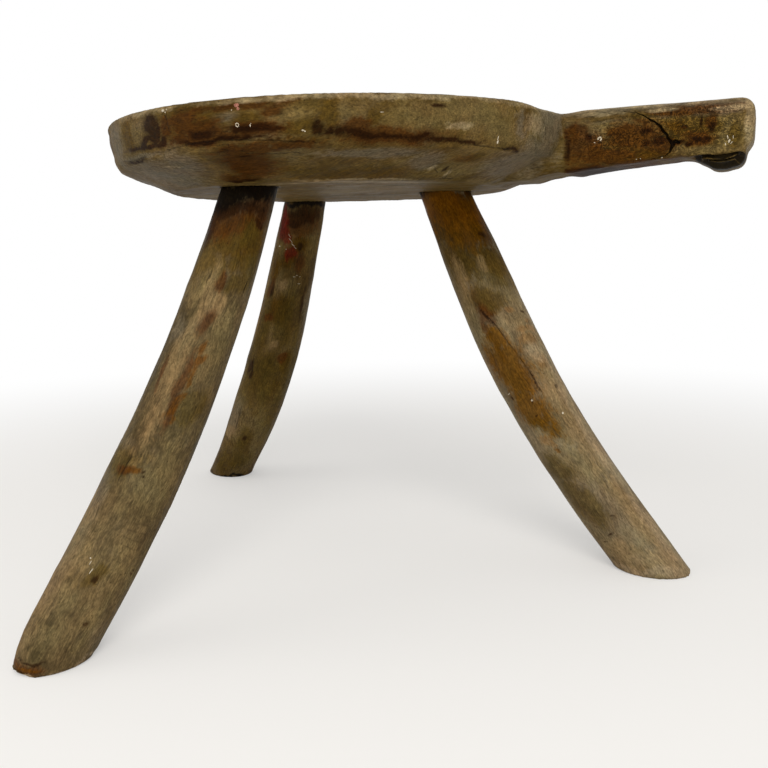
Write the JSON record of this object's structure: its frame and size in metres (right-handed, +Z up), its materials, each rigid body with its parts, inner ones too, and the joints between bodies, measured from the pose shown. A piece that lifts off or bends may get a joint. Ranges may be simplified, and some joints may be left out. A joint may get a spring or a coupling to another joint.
{
  "type": "stool",
  "caption": "Low round hand-carved wooden stool on splayed, curved branch legs, with a carrying handle of one piece with the seat.",
  "frame": {"origin": "on the floor, under the centre of the bounding box", "axes": "+Z up, +X along the handle away from the seat"},
  "size_m": [0.5298, 0.443, 0.321],
  "materials": {
    "seat_wood": "hewn, darkened and worn smooth by use",
    "leg_wood": "peeled branch, greyed, with brown stains",
    "wedge_wood": "split hardwood, cut flush and worn"
  },
  "bodies": {
    "root": {"seat_with_handle": "seat_wood", "leg_front": "leg_wood", "wedge_front": "wedge_wood", "leg_left": "leg_wood", "wedge_left": "wedge_wood", "leg_right": "leg_wood", "wedge_right": "wedge_wood"}
  },
  "joints": []
}
